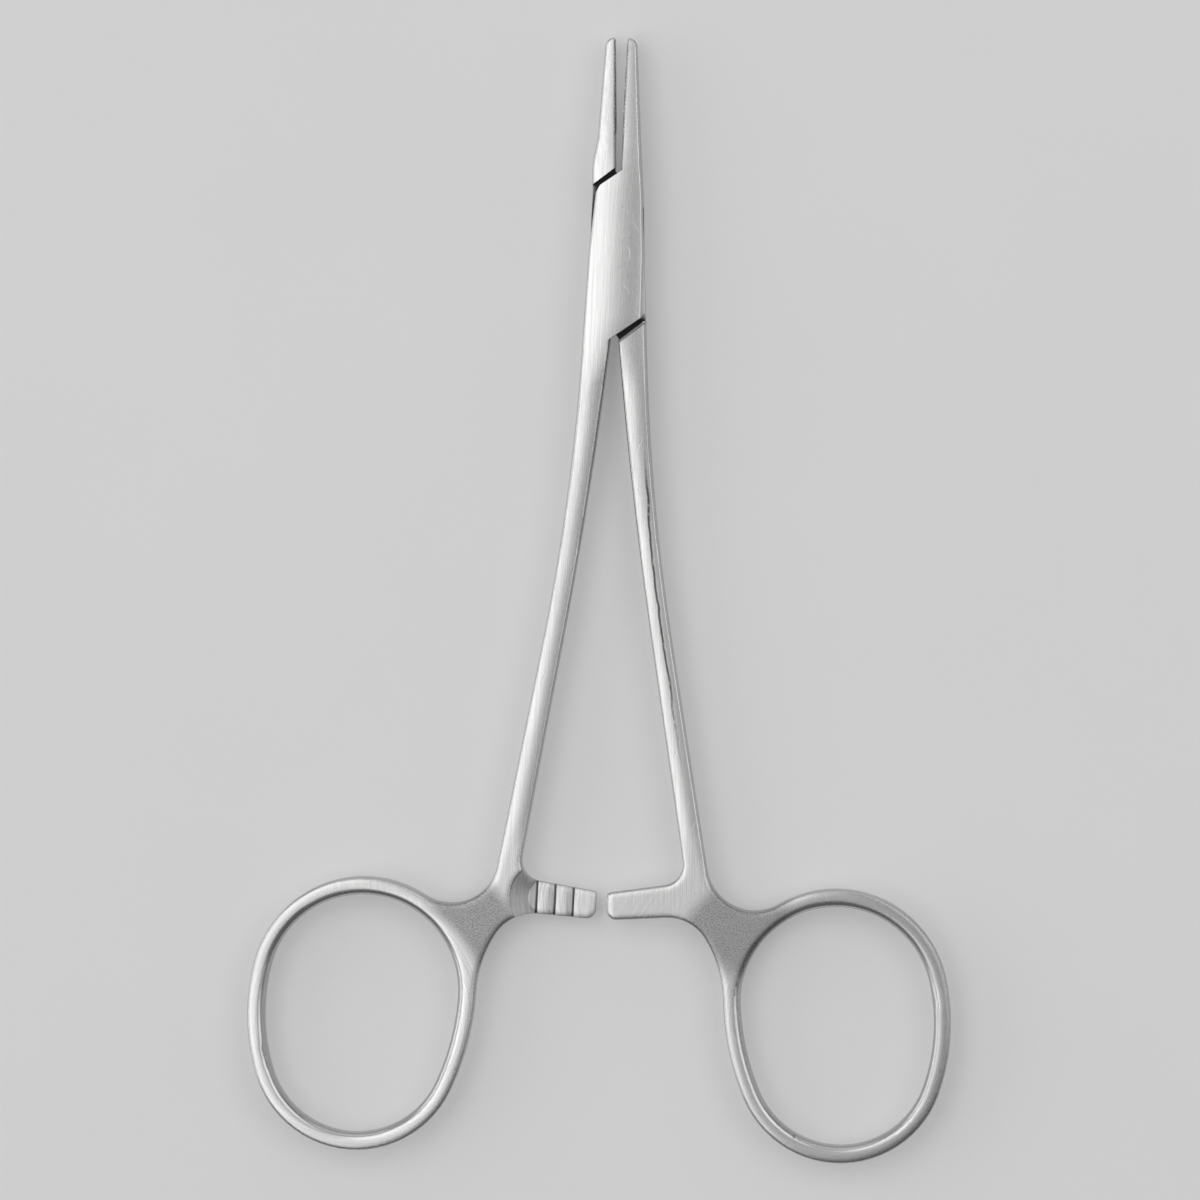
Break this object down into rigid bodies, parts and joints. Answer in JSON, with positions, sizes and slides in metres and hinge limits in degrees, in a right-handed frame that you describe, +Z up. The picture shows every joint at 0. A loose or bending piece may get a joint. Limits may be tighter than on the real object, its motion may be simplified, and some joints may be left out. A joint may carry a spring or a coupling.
{
  "type": "surgical needle holder",
  "caption": "Box-lock needle holder with narrow serrated jaws, long flaring shanks, ratchet arms and oval finger rings.",
  "frame": {"origin": "on the axis of the pivot pin, at the underside of the box lock, which is the surface that the part rests on", "axes": "+Y from the pin to the jaw tips, +Z up out of the front face, +X to the tang half's finger ring"},
  "size_m": [0.0752, 0.1193, 0.0044],
  "materials": {
    "satin_steel": "satin"
  },
  "bodies": {
    "box": {"box_half": "satin_steel", "pivot_pin": "satin_steel"},
    "tang": {"tang_half": "satin_steel"}
  },
  "joints": [
    {"name": "lock_pivot", "type": "hinge", "parent": "box", "child": "tang", "pos_m": [0, 0, 0.0022], "axis": [0, 0, 1], "range_deg": [-2.8, 55]}
  ]
}
